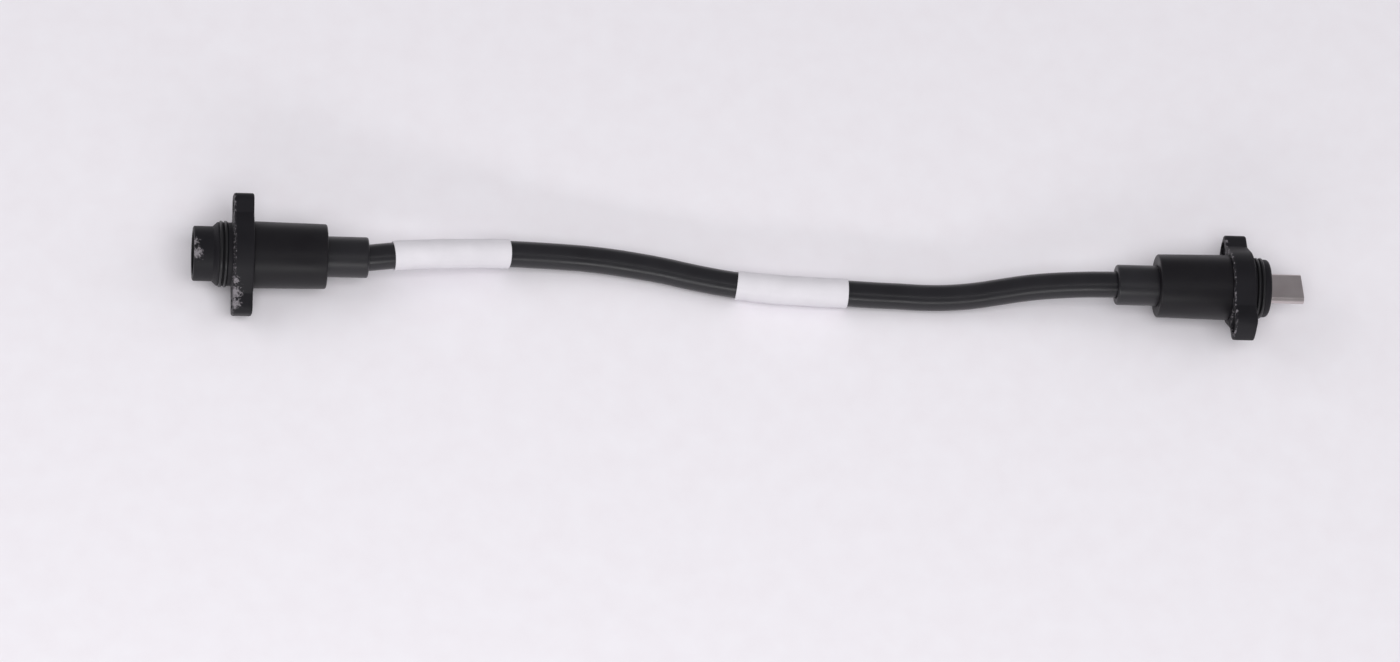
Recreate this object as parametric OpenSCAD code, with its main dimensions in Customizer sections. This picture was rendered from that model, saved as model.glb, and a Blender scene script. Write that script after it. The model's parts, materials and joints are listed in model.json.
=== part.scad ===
// Short sealed adapter lead: a round cable with a flanged connector moulded on each end.
// Left end: keyed round socket behind a stepped nose. Right end: USB-C plug in a domed nose.
// Row frame: +X runs from the socket end to the plug end, +Z is up, and the lead lies on z = 0.

/* [Cable] */
// Outer diameter of the cable jacket
cable_d = 6.0; // [4:0.1:7]
// Wall thickness of the jacket
jacket_wall = 0.65; // [0.4:0.05:1]
// Thickness of the shield braid
shield_wall = 0.25; // [0.1:0.05:0.4]
// Radius of each insulated core
core_r = 0.70; // [0.5:0.05:0.8]
// Radius of the copper conductor in each core
copper_r = 0.40; // [0.2:0.05:0.5]
// Radius of the circle on which the four cores lie
core_ring_r = 1.15; // [1:0.05:1.3]
// Wall thickness of the label sleeves
label_wall = 0.28; // [0.1:0.02:0.6]

/* [Flange] */
// Radius of the round middle of each flange
hub_r = 8.5; // [6:0.1:10]
// Distance from the connector's axis to an ear's tip
ear_tip_r = 13.85; // [11:0.05:18]
// Half the width of an ear
ear_half_w = 4.0; // [2.5:0.05:5]
// Radius of an ear's two corners
ear_corner_r = 2.0; // [0.5:0.1:2.4]
// Distance from the connector's axis to a screw hole
screw_offset = 10.8; // [9:0.1:14]
// Radius of a screw hole
screw_hole_r = 1.65; // [1:0.05:2.5]
// Radius of the shallow recess round a screw hole
screw_recess_r = 2.5; // [1.8:0.05:3.5]
// Depth of the shallow recess
screw_recess_depth = 0.6; // [0.2:0.1:1.5]
// Slope of the flank that runs from the round middle to an ear
flank_deg = 35; // [20:1:40]
// Bevel on the flange's edges
flange_bevel = 0.4; // [0.1:0.05:1]
// Size of the slope at the root of each nose
nose_root = 0.4; // [0.2:0.05:0.8]
// Turn of each connector about its own axis as it lies
roll_deg = 18.5; // [0:0.5:22]

/* [Back shell and boot] */
// Length of the back shell
shell_len = 16.6; // [14:0.1:30]
// Shrink of the back shell's radius towards the cable
shell_draft = 0.25; // [0:0.05:0.6]
// Thickness of the back shell's end wall
shell_end_wall = 2.0; // [1:0.1:4]
// Radius of the back shell's cavity
shell_cavity_r = 5.3; // [4.8:0.1:6]
// Bevel at the cable end of the back shell
shell_bevel = 0.3; // [0.1:0.05:0.8]
// Radius of the strain-relief boot
boot_r = 4.6; // [4:0.05:5]
// Length of the boot that shows behind the back shell
boot_len = 9.4; // [5:0.1:20]
// Thickness of the boot's inner collar
boot_collar_t = 2.0; // [1:0.1:3]
// Length of the tube that each front shell pushes into its back shell
sleeve_len = 6.0; // [3:0.1:7]
// Outer radius of that tube
sleeve_r = 6.2; // [5.8:0.05:6.5]
// Clearance between pieces that slide together
fit_gap = 0.05; // [0.02:0.01:0.1]

/* [Socket end] */
// Thickness of the socket's flange
socket_flange_t = 4.5; // [3:0.1:8]
// Radius of the back shell where it meets the socket's flange
socket_shell_r = 7.55; // [7:0.05:9]
// Radius of the nose where the sealing rings sit
socket_seal_r = 7.15; // [6.8:0.05:9]
// Length of that part of the nose
socket_seal_len = 3.6; // [3.3:0.1:8]
// Length of the sloped step on the nose
socket_step_len = 1.0; // [0.5:0.1:2]
// Radius of the front of the nose
socket_nose_r = 6.2; // [5.8:0.05:7]
// Length of the front of the nose
socket_nose_len = 4.35; // [3:0.05:8]
// Radius of the open recess in the nose
socket_bore_r = 4.9; // [4.6:0.05:5.2]
// Depth of the open recess
socket_bore_depth = 6.0; // [4:0.1:8]
// Width of the key slot in the recess
key_w = 1.6; // [1:0.1:3]
// Depth of the key slot below the wall of the recess
key_depth = 0.55; // [0.2:0.05:0.8]
// Radius of the circle on which the contacts stand
contact_ring_r = 2.4; // [2:0.05:2.8]
// Outer radius of a contact
contact_r = 0.75; // [0.6:0.05:0.9]
// Radius of the hole in the end of a contact
contact_bore_r = 0.45; // [0.42:0.01:0.55]
// Thickness of a socket sealing ring
socket_ring_d = 0.85; // [0.7:0.05:1]
// Places of the socket's sealing rings along the nose
socket_ring_x = [1.75, 2.8];
// Height of a socket sealing ring above the nose
socket_ring_proud = 0.35; // [0.1:0.05:0.4]

/* [Plug end] */
// Thickness of the plug's flange
plug_flange_t = 5.0; // [3:0.1:8]
// Radius of the back shell where it meets the plug's flange
plug_shell_r = 7.45; // [7:0.05:9]
// Radius of the plug's nose
plug_nose_r = 6.6; // [6.2:0.05:8]
// Length of the plug's nose
plug_nose_len = 4.15; // [3.8:0.05:8]
// Radius of the rounded front edge of the nose
plug_nose_round = 0.9; // [0.3:0.1:1.2]
// Thickness of a plug sealing ring
plug_ring_d = 0.8; // [0.6:0.05:0.9]
// Places of the plug's sealing rings along the nose
plug_ring_x = [1.15, 2.15];
// Height of a plug sealing ring above the nose
plug_ring_proud = 0.35; // [0.1:0.05:0.4]
// Width of the USB-C shell
usb_w = 8.25; // [8.2:0.01:8.3]
// Thickness of the USB-C shell
usb_t = 2.4; // [2.35:0.01:2.45]
// Length of the USB-C shell in front of the nose
usb_len = 8.0; // [6.5:0.1:10]
// Wall thickness of the USB-C shell
usb_wall = 0.25; // [0.15:0.01:0.3]
// Depth of the slot that takes the mating tongue
slot_depth = 6.5; // [5:0.1:7]
// Height of that slot
slot_t = 0.85; // [0.7:0.05:1]
// Contacts in each row
row_count = 12; // [8:1:12]
// Distance from one contact to the next
row_pitch = 0.5; // [0.4:0.05:0.6]

/* [Hidden] */
$fn = 64;
hull_fn = 40;
fine_fn = 24;
eps = 0.01;
groove_over = 1;
// The cable lies on its side between the boots: [x, y, z] along its centre line.
axis_z = hub_r;
route = [
    [-87.2, 1.0, axis_z], [-84.5, 1.3, 8.5], [-81.5, 1.72, 8.35], [-76, 2.37, 7.95], [-71, 2.92, 7.35],
    [-65.5, 3.47, 6.65], [-60, 4.01, 5.85], [-55, 4.36, 5.15], [-50, 4.51, 4.55], [-44, 4.56, 3.95],
    [-38, 4.41, 3.55], [-32, 3.93, 3.3], [-26, 3.13, 3.2], [-20, 2.13, 3.2], [-14, 0.83, 3.2],
    [-8, -0.37, 3.3], [-3, -1.17, 3.4], [2, -1.67, 3.4], [7, -2.07, 3.4], [12, -2.27, 3.4],
    [17, -2.47, 3.4], [22.3, -2.57, 3.4], [28, -2.77, 3.3], [34, -2.87, 3.2], [40, -3.07, 3.2],
    [46, -2.99, 3.45], [52, -2.57, 4.1], [58, -1.84, 5.05], [64, -1.21, 6.1], [70, -0.98, 7.15],
    [76, -0.95, 8.0], [80, -1.0, 8.4], [83.5, -1.0, axis_z]
];
// First and last route point under each label sleeve
label_socket_span = [2, 7];
label_middle_span = [16, 21];
route_start = route[0];
route_end = route[len(route) - 1];
cable_r = cable_d / 2;
shield_r = cable_r - jacket_wall - fit_gap;
label_r = cable_r + fit_gap + label_wall;
// Each connector is drawn with x = 0 at the front face of its flange and its nose towards +X.
connector_tail = shell_len + boot_len;
socket_x = route_start.x - connector_tail - socket_flange_t;
plug_x = route_end.x + connector_tail + plug_flange_t;
collar_rear = shell_len - shell_end_wall;
collar_front = collar_rear - boot_collar_t;
ferrule_len = 4.0;
ferrule_wall = 0.4;
ferrule_r = cable_r + fit_gap + ferrule_wall;
ferrule_front = collar_front - ferrule_len;
jacket_inset = 1.0;
shield_inset = 0.5;
jacket_stop = ferrule_front + jacket_inset;
shield_stop = ferrule_front + shield_inset;
bend_gap = 0.1;
wire_bend = jacket_stop - bend_gap;
wire_overlap = 1.0;
wire_stop = sleeve_len - wire_overlap;
mould_gap = 0.1;
mould_front = sleeve_len + mould_gap;
mould_r = shell_cavity_r - 2 * fit_gap;
sleeve_wall = 1.0;
sleeve_bore_r = sleeve_r - sleeve_wall;
socket_ring_bottom_r = socket_seal_r + socket_ring_proud - socket_ring_d;
socket_spread = [contact_ring_r, contact_ring_r] * sqrt(0.5);
socket_nose_x = socket_seal_len + socket_step_len + socket_nose_len;
bore_floor_x = socket_nose_x - socket_bore_depth;
web_t = 2.4;
web_rear_x = bore_floor_x - web_t;
insert_ledge = 0.5;
insert_front_r = socket_bore_r - insert_ledge;
insert_rear_r = sleeve_bore_r - fit_gap;
insert_rear_len = 6.5;
insert_rear_x = web_rear_x - insert_rear_len;
contact_inset = 0.2;
contact_front_x = bore_floor_x - contact_inset;
contact_collar_t = 0.6;
contact_collar_proud = 0.25;
strip_gap = 0.3;
contact_rear_x = -socket_flange_t - wire_stop + core_r + strip_gap;
contact_bore_len = 5.0;
contact_hole_r = contact_r + fit_gap;
cup_len = 1.4;
cup_gap = 0.2;
socket_copper_reach = core_r + strip_gap + cup_len - cup_gap;
plug_wall_rear_x = -2.0;
usb_tail_len = 2.0;
usb_rear_x = plug_wall_rear_x - usb_tail_len;
usb_tip_x = plug_nose_len + usb_len;
usb_collar_t = 0.6;
usb_collar_proud = 0.5;
insulator_inset = 0.15;
insulator_w = usb_w - 2 * usb_wall - 2 * fit_gap;
insulator_t = usb_t - 2 * usb_wall - 2 * fit_gap;
insulator_rear_x = plug_wall_rear_x;
insulator_tip_x = usb_tip_x - insulator_inset;
slot_side = 0.45;
slot_w = row_count * row_pitch + 2 * slot_side;
slot_floor_x = insulator_tip_x - slot_depth;
strip_w = row_pitch / 2;
strip_t = 0.15;
strip_z = slot_t / 2;
channel_tip_x = insulator_tip_x - 0.5;
strip_tip_x = channel_tip_x - 0.1;
strip_tail_len = 1.5;
strip_rear_x = insulator_rear_x - strip_tail_len;
latch_t = 0.2;
latch_h = 0.6;
latch_short = 0.8;
latch_len = slot_depth - latch_short;
card_w = 7.0;
card_t = 0.8;
card_tail_len = 4.5;
card_rear_x = -plug_flange_t - card_tail_len;
card_wire_y = 2.2;
card_wire_z = card_t / 2 + copper_r + fit_gap;
plug_spread = [card_wire_y, card_wire_z];
plug_copper_reach = 2.5;
plug_ring_bottom_r = plug_nose_r + plug_ring_proud - plug_ring_d;

// Colours
black_plastic = [0.10, 0.10, 0.11];
black_rubber = [0.14, 0.14, 0.15];
steel = [0.62, 0.61, 0.60];
gold = [0.83, 0.68, 0.35];
copper = [0.80, 0.47, 0.28];
tin = [0.75, 0.76, 0.77];
mould_grey = [0.35, 0.35, 0.37];
card_green = [0.10, 0.35, 0.20];
label_white = [0.92, 0.92, 0.92];
core_red = [0.75, 0.10, 0.10];
core_black = [0.08, 0.08, 0.08];
core_white = [0.90, 0.90, 0.88];
core_green = [0.10, 0.50, 0.20];

// Quadrant of each core: [sign of y, sign of z]
red_side = [1, 1];
black_side = [-1, 1];
white_side = [-1, -1];
green_side = [1, -1];
core_sides = [red_side, black_side, white_side, green_side];

// ---- helpers ----
module at_socket() {
    translate([socket_x, route_start.y, axis_z])
        rotate([-roll_deg, 0, 180])
            children();
}

module at_plug() {
    translate([plug_x, route_end.y, axis_z])
        rotate([-roll_deg, 0, 0])
            children();
}

// A round bar or cone along X, from x0 with radius r0 to x1 with radius r1
module bar(x0, x1, r0, r1) {
    translate([x0, 0, 0])
        rotate([0, 90, 0])
            cylinder(h = x1 - x0, r1 = r0, r2 = is_undef(r1) ? r0 : r1);
}

module tube(x0, x1, outer, inner) {
    difference() {
        bar(x0, x1, outer);
        bar(x0 - eps, x1 + eps, inner);
    }
}

// A bar with flat top and bottom and round sides, along X
module flat_bar(x0, x1, w, t) {
    for (side = [-1, 1]) {
        translate([0, side * (w - t) / 2, 0])
            bar(x0, x1, t / 2);
    }
    translate([x0, -(w - t) / 2, -t / 2])
        cube([x1 - x0, w - t, t]);
}

// A ring of round section round X
module ring(x, centre_r, section_d) {
    translate([x, 0, 0])
        rotate([0, 90, 0])
            rotate_extrude()
                translate([centre_r, 0])
                    circle(d = section_d, $fn = fine_fn);
}

// A groove round a bar
module groove(x, width, bottom_r, outer_r) {
    tube(x - width / 2, x + width / 2, outer_r, bottom_r);
}

// ---- flange ----
// A disc of the flange's thickness with bevelled edges, at [y, z]
module flange_post(y, z, r, t) {
    translate([0, y, z]) {
        bar(-t + flange_bevel, -flange_bevel, r, $fn = hull_fn);
        bar(-t, 0, r - flange_bevel, $fn = hull_fn);
    }
}

module flange_blank(t) {
    ear_corner_z = ear_half_w - ear_corner_r;
    ear_corner_y = sqrt(pow(ear_tip_r - ear_corner_r, 2) - pow(ear_corner_z, 2));
    flank_end_r = hub_r - screw_offset * sin(flank_deg);
    hull() {
        flange_post(0, 0, hub_r, t);
        for (side = [-1, 1]) {
            flange_post(side * screw_offset, 0, flank_end_r, t);
        }
    }
    hull() {
        for (side = [-1, 1]) {
            flange_post(side * (ear_tip_r - ear_corner_r), 0, ear_corner_r, t);
            for (edge = [-1, 1]) {
                flange_post(side * ear_corner_y, edge * ear_corner_z, ear_corner_r, t);
            }
        }
    }
}

module flange_holes(t) {
    for (side = [-1, 1]) {
        translate([0, side * screw_offset, 0]) {
            bar(-t - eps, eps, screw_hole_r);
            bar(-t - eps, -t + screw_recess_depth, screw_recess_r);
        }
    }
}

// The part of a nose that stands on the flange's face, up to x1, with a slope at its root
module nose_foot(x1, r) {
    bar(-flange_bevel, x1, r);
    bar(-flange_bevel, nose_root, r + nose_root + flange_bevel, r);
}

// ---- pieces that both ends share, t being the flange's thickness ----
module backshell(t, front_r) {
    rear_r = front_r - shell_draft;
    difference() {
        union() {
            bar(-t - shell_len + shell_bevel, -t, rear_r, front_r);
            bar(-t - shell_len, -t - shell_len + shell_bevel, rear_r - shell_bevel, rear_r);
        }
        bar(-t - sleeve_len, -t + eps, sleeve_r + fit_gap);
        bar(-t - collar_rear, -t + eps, shell_cavity_r);
        bar(-t - shell_len - eps, -t, boot_r + fit_gap);
    }
}

module boot(t) {
    difference() {
        union() {
            bar(-t - connector_tail, -t - collar_rear, boot_r);
            bar(-t - collar_rear, -t - collar_front, shell_cavity_r - fit_gap);
        }
        bar(-t - connector_tail - eps, -t, cable_r + fit_gap);
    }
}

module ferrule(t) {
    tube(-t - collar_front, -t - ferrule_front, ferrule_r, cable_r + fit_gap);
}

module jacket_tail(t) {
    tube(-t - connector_tail, -t - jacket_stop, cable_r, cable_r - jacket_wall);
}

module shield_tail(t) {
    tube(-t - connector_tail, -t - shield_stop, shield_r, shield_r - shield_wall);
}

// ---- tubes swept along a line of points ----
function unit(v) = v / norm(v);
// Direction of the line at point i; both of its ends point along X
function heading(line, i) =
    i == 0 || i == len(line) - 1
        ? [1, 0, 0]
        : unit(unit(line[i + 1] - line[i]) + unit(line[i] - line[i - 1]));
function sideways(line, i) = unit(cross([0, 0, 1], heading(line, i)));
function upwards(line, i) = cross(heading(line, i), sideways(line, i));
function ring_point(line, i, r, angle) =
    line[i] + r * cos(angle) * sideways(line, i) + r * sin(angle) * upwards(line, i);

// A solid or hollow tube along the line, from its point first to its point last
module swept(line, outer, inner = 0, sides = 8, first = 0, last) {
    stop = is_undef(last) ? len(line) - 1 : last;
    count = stop - first + 1;
    points = [
        for (r = inner > 0 ? [outer, inner] : [outer])
            for (i = [first : stop])
                for (k = [0 : sides - 1])
                    ring_point(line, i, r, 360 * k / sides)
    ];
    hole = count * sides;
    end = (count - 1) * sides;
    outer_wall = [
        for (i = [0 : count - 2])
            for (k = [0 : sides - 1])
                let (a = i * sides + k, b = i * sides + (k + 1) % sides)
                    each [[a, a + sides, b + sides], [a, b + sides, b]]
    ];
    inner_wall = [
        for (i = [0 : count - 2])
            for (k = [0 : sides - 1])
                let (a = hole + i * sides + k, b = hole + i * sides + (k + 1) % sides)
                    each [[a, b, b + sides], [a, b + sides, a + sides]]
    ];
    open_ends = [
        for (k = [0 : sides - 1])
            let (a = k, b = (k + 1) % sides)
                each [
                    [a, b, hole + b],
                    [a, hole + b, hole + a],
                    [end + b, end + a, end + hole + a],
                    [end + b, end + hole + a, end + hole + b]
                ]
    ];
    closed_ends = [
        for (k = [1 : sides - 2])
            each [[0, k, k + 1], [end, end + k + 1, end + k]]
    ];
    faces = inner > 0 ? concat(outer_wall, inner_wall, open_ends) : concat(outer_wall, closed_ends);
    polyhedron(points = points, faces = faces, convexity = 6);
}

// A wire's points from the boot's end to the inside: straight, then spread out to [y, z]
function wire_line(t, side, spread) = let (q = core_ring_r * sqrt(0.5)) [
    [-t - connector_tail, side.x * q, side.y * q],
    [-t - wire_bend, side.x * q, side.y * q],
    [-t - wire_stop, side.x * spread.x, side.y * spread.y]
];

module wire(t, side, spread) {
    swept(wire_line(t, side, spread), core_r, copper_r + fit_gap);
}

// The copper runs on past each wire's end by reach.
module wire_copper(t, spread, reach) {
    for (side = core_sides) {
        line = wire_line(t, side, spread);
        swept(concat(line, [line[2] + [reach, 0, 0]]), copper_r);
    }
}

module mould(t, spread) {
    difference() {
        bar(-t - collar_front, -t - mould_front, mould_r);
        bar(-t - collar_front - eps, -t - ferrule_front + fit_gap, ferrule_r + fit_gap);
        for (side = core_sides) {
            swept(wire_line(t, side, spread), core_r + fit_gap);
        }
    }
}

// ---- socket end ----

module socket_shell() {
    color(black_plastic) at_socket() {
        difference() {
            union() {
                flange_blank(socket_flange_t);
                bar(-socket_flange_t - sleeve_len, -flange_bevel, sleeve_r);
                nose_foot(socket_seal_len, socket_seal_r);
                bar(socket_seal_len, socket_seal_len + socket_step_len, socket_seal_r, socket_nose_r);
                bar(socket_seal_len, socket_nose_x - flange_bevel, socket_nose_r);
                bar(
                    socket_nose_x - flange_bevel,
                    socket_nose_x,
                    socket_nose_r,
                    socket_nose_r - flange_bevel
                );
            }
            flange_holes(socket_flange_t);
            for (x = socket_ring_x) {
                groove(x, socket_ring_d + fit_gap, socket_ring_bottom_r, socket_seal_r + groove_over);
            }
            bar(bore_floor_x, socket_nose_x + eps, socket_bore_r);
            bar(web_rear_x - eps, socket_nose_x, insert_front_r + fit_gap);
            bar(-socket_flange_t - sleeve_len - eps, web_rear_x, sleeve_bore_r);
            translate([bore_floor_x, -key_w / 2, 0])
                cube([socket_bore_depth + eps, key_w, socket_bore_r + key_depth]);
        }
    }
}

module socket_ring(x) {
    color(black_rubber) at_socket()
        ring(x, socket_ring_bottom_r + socket_ring_d / 2, socket_ring_d);
}

module socket_ring_front() {
    socket_ring(max(socket_ring_x));
}

module socket_ring_rear() {
    socket_ring(min(socket_ring_x));
}

module socket_insert() {
    color(mould_grey) at_socket() {
        difference() {
            union() {
                bar(insert_rear_x, web_rear_x, insert_rear_r);
                bar(insert_rear_x, bore_floor_x, insert_front_r);
            }
            for (side = core_sides) {
                translate([0, side.x * socket_spread.x, side.y * socket_spread.y])
                    bar(insert_rear_x - eps, bore_floor_x + eps, contact_hole_r, $fn = fine_fn);
            }
        }
    }
}

module socket_contacts() {
    collar_x = insert_rear_x - contact_collar_t;
    contact_collar_r = contact_r + contact_collar_proud;
    contact_floor_x = contact_front_x - contact_bore_len;
    color(gold) at_socket() {
        for (side = core_sides) {
            translate([0, side.x * socket_spread.x, side.y * socket_spread.y]) {
                difference() {
                    union() {
                        bar(contact_rear_x, contact_front_x, contact_r, $fn = fine_fn);
                        bar(collar_x, insert_rear_x, contact_collar_r, $fn = fine_fn);
                    }
                    bar(contact_floor_x, contact_front_x + eps, contact_bore_r, $fn = fine_fn);
                    bar(contact_rear_x - eps, contact_rear_x + cup_len, contact_bore_r, $fn = fine_fn);
                }
            }
        }
    }
}

module socket_backshell() {
    color(black_plastic) at_socket()
        backshell(socket_flange_t, socket_shell_r);
}

module socket_boot() {
    color(black_rubber) at_socket()
        boot(socket_flange_t);
}

module socket_mould() {
    color(mould_grey) at_socket()
        mould(socket_flange_t, socket_spread);
}

module socket_ferrule() {
    color(tin) at_socket()
        ferrule(socket_flange_t);
}

module socket_jacket_tail() {
    color(black_rubber) at_socket()
        jacket_tail(socket_flange_t);
}

module socket_shield_tail() {
    color(tin) at_socket()
        shield_tail(socket_flange_t);
}

// Seen from the cable the socket end is turned about, so y changes sign against the plug end.
module socket_wire(side) {
    at_socket()
        wire(socket_flange_t, [-side.x, side.y], socket_spread);
}

module socket_wire_red() {
    color(core_red) socket_wire(red_side);
}

module socket_wire_black() {
    color(core_black) socket_wire(black_side);
}

module socket_wire_white() {
    color(core_white) socket_wire(white_side);
}

module socket_wire_green() {
    color(core_green) socket_wire(green_side);
}

module socket_wire_copper() {
    color(copper) at_socket()
        wire_copper(socket_flange_t, socket_spread, socket_copper_reach);
}

// ---- cable ----
// The cores turn from the socket's roll to the plug's roll along the cable.
function core_line(side) = [
    for (i = [0 : len(route) - 1])
        let (
            turn = roll_deg * (1 - 2 * i / (len(route) - 1)),
            q = core_ring_r * sqrt(0.5),
            s = side.x * q * cos(turn) - side.y * q * sin(turn),
            u = side.x * q * sin(turn) + side.y * q * cos(turn)
        )
            route[i] + s * sideways(route, i) + u * upwards(route, i)
];

module cable_jacket() {
    color(black_rubber)
        swept(route, cable_r, cable_r - jacket_wall, 12);
}

module cable_shield() {
    color(tin)
        swept(route, shield_r, shield_r - shield_wall, 12);
}

module cable_core(side) {
    swept(core_line(side), core_r, copper_r + fit_gap);
}

module cable_core_red() {
    color(core_red) cable_core(red_side);
}

module cable_core_black() {
    color(core_black) cable_core(black_side);
}

module cable_core_white() {
    color(core_white) cable_core(white_side);
}

module cable_core_green() {
    color(core_green) cable_core(green_side);
}

module cable_copper() {
    color(copper)
        for (side = core_sides) {
            swept(core_line(side), copper_r);
        }
}

module label_sleeve(span) {
    color(label_white)
        swept(route, label_r, cable_r + fit_gap, 12, span[0], span[1]);
}

module label_near_socket() {
    label_sleeve(label_socket_span);
}

module label_near_middle() {
    label_sleeve(label_middle_span);
}

// ---- plug end ----

// The nose's outline from its axis, with a rounded front edge
module plug_nose() {
    rotate([0, 90, 0])
        rotate_extrude()
            union() {
                square([plug_nose_r - plug_nose_round, plug_nose_len]);
                square([plug_nose_r, plug_nose_len - plug_nose_round]);
                translate([plug_nose_r - plug_nose_round, plug_nose_len - plug_nose_round])
                    circle(r = plug_nose_round, $fn = 32);
            }
}

module plug_shell() {
    color(black_plastic) at_plug() {
        difference() {
            union() {
                flange_blank(plug_flange_t);
                bar(-plug_flange_t - sleeve_len, -flange_bevel, sleeve_r);
                nose_foot(plug_nose_round, plug_nose_r);
                plug_nose();
            }
            flange_holes(plug_flange_t);
            for (x = plug_ring_x) {
                groove(x, plug_ring_d + fit_gap, plug_ring_bottom_r, plug_nose_r + groove_over);
            }
            flat_bar(plug_wall_rear_x - eps, plug_nose_len + eps, usb_w + 2 * fit_gap, usb_t + 2 * fit_gap);
            bar(-plug_flange_t - sleeve_len - eps, plug_wall_rear_x, sleeve_bore_r);
        }
    }
}

module plug_ring(x) {
    color(black_rubber) at_plug()
        ring(x, plug_ring_bottom_r + plug_ring_d / 2, plug_ring_d);
}

module plug_ring_front() {
    plug_ring(max(plug_ring_x));
}

module plug_ring_rear() {
    plug_ring(min(plug_ring_x));
}

module usb_shell() {
    color(steel) at_plug() {
        difference() {
            union() {
                flat_bar(usb_rear_x, usb_tip_x, usb_w, usb_t);
                flat_bar(
                    plug_wall_rear_x - usb_collar_t,
                    plug_wall_rear_x,
                    usb_w + 2 * usb_collar_proud,
                    usb_t + 2 * usb_collar_proud
                );
            }
            flat_bar(usb_rear_x - eps, usb_tip_x + eps, usb_w - 2 * usb_wall, usb_t - 2 * usb_wall);
        }
    }
}

// One row of flat strips on the side of the slot given by up = 1 or -1
module strip_row(up, x0, x1, w, t) {
    for (i = [0 : row_count - 1]) {
        y = (i - (row_count - 1) / 2) * row_pitch;
        translate([x0, y - w / 2, up > 0 ? strip_z : -strip_z - t])
            cube([x1 - x0, w, t]);
    }
}

module usb_insulator() {
    channel_w = strip_w + 2 * fit_gap;
    color(core_black) at_plug() {
        difference() {
            flat_bar(insulator_rear_x, insulator_tip_x, insulator_w, insulator_t);
            translate([slot_floor_x, -slot_w / 2, -slot_t / 2])
                cube([slot_depth + eps, slot_w, slot_t]);
            for (up = [-1, 1]) {
                strip_row(up, insulator_rear_x - eps, channel_tip_x, channel_w, strip_t);
            }
            for (side = [-1, 1]) {
                translate([slot_floor_x, side * slot_w / 2 - latch_t, -latch_h / 2])
                    cube([slot_depth + eps, 2 * latch_t, latch_h]);
            }
        }
    }
}

module usb_contacts_upper() {
    color(gold) at_plug()
        strip_row(1, strip_rear_x, strip_tip_x, strip_w, strip_t);
}

module usb_contacts_lower() {
    color(gold) at_plug()
        strip_row(-1, strip_rear_x, strip_tip_x, strip_w, strip_t);
}

module usb_latches() {
    color(steel) at_plug()
        for (side = [-1, 1]) {
            translate([
                slot_floor_x,
                side * (slot_w / 2 + latch_t / 2) - latch_t / 2,
                -latch_h / 2 + fit_gap
            ])
                cube([latch_len, latch_t - fit_gap, latch_h - 2 * fit_gap]);
        }
}

module plug_card() {
    color(card_green) at_plug()
        translate([card_rear_x, -card_w / 2, -card_t / 2])
            cube([insulator_rear_x - card_rear_x, card_w, card_t]);
}

module plug_backshell() {
    color(black_plastic) at_plug()
        backshell(plug_flange_t, plug_shell_r);
}

module plug_boot() {
    color(black_rubber) at_plug()
        boot(plug_flange_t);
}

module plug_mould() {
    color(mould_grey) at_plug()
        mould(plug_flange_t, plug_spread);
}

module plug_ferrule() {
    color(tin) at_plug()
        ferrule(plug_flange_t);
}

module plug_jacket_tail() {
    color(black_rubber) at_plug()
        jacket_tail(plug_flange_t);
}

module plug_shield_tail() {
    color(tin) at_plug()
        shield_tail(plug_flange_t);
}

module plug_wire(side) {
    at_plug()
        wire(plug_flange_t, side, plug_spread);
}

module plug_wire_red() {
    color(core_red) plug_wire(red_side);
}

module plug_wire_black() {
    color(core_black) plug_wire(black_side);
}

module plug_wire_white() {
    color(core_white) plug_wire(white_side);
}

module plug_wire_green() {
    color(core_green) plug_wire(green_side);
}

module plug_wire_copper() {
    color(copper) at_plug()
        wire_copper(plug_flange_t, plug_spread, plug_copper_reach);
}

socket_shell();
socket_ring_front();
socket_ring_rear();
socket_insert();
socket_contacts();
socket_backshell();
socket_boot();
socket_mould();
socket_ferrule();
socket_jacket_tail();
socket_shield_tail();
socket_wire_red();
socket_wire_black();
socket_wire_white();
socket_wire_green();
socket_wire_copper();
cable_jacket();
cable_shield();
cable_core_red();
cable_core_black();
cable_core_white();
cable_core_green();
cable_copper();
label_near_socket();
label_near_middle();
plug_shell();
plug_ring_front();
plug_ring_rear();
usb_shell();
usb_insulator();
usb_contacts_upper();
usb_contacts_lower();
usb_latches();
plug_card();
plug_backshell();
plug_boot();
plug_mould();
plug_ferrule();
plug_jacket_tail();
plug_shield_tail();
plug_wire_red();
plug_wire_black();
plug_wire_white();
plug_wire_green();
plug_wire_copper();
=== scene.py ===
import json
import math

import bmesh
import bpy
from mathutils import Matrix, Vector


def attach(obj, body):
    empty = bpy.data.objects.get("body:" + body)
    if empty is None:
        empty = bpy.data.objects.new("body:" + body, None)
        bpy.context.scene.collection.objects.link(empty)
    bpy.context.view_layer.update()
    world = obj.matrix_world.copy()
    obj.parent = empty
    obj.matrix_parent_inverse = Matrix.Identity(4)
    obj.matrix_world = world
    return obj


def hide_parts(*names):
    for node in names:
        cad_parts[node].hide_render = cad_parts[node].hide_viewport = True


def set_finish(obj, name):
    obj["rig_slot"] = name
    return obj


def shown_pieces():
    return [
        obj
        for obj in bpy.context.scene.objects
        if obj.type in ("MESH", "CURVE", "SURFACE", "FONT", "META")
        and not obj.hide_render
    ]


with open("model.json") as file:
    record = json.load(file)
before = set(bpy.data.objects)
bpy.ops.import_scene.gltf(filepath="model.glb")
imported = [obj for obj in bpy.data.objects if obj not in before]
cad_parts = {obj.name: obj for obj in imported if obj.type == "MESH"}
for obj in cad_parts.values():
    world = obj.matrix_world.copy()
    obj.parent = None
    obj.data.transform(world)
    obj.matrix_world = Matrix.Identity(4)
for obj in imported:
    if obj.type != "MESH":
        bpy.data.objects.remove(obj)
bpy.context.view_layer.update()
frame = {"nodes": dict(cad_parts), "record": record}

# A short sealed adapter lead lying on a table. Sizes are in millimetres and MM turns them into metres.
# Each connector is made along its own axis, with x = 0 at the front face of its flange and its
# nose towards +x, and is then placed in the lead.
MM = 0.001

CABLE_R = 3.0
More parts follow.
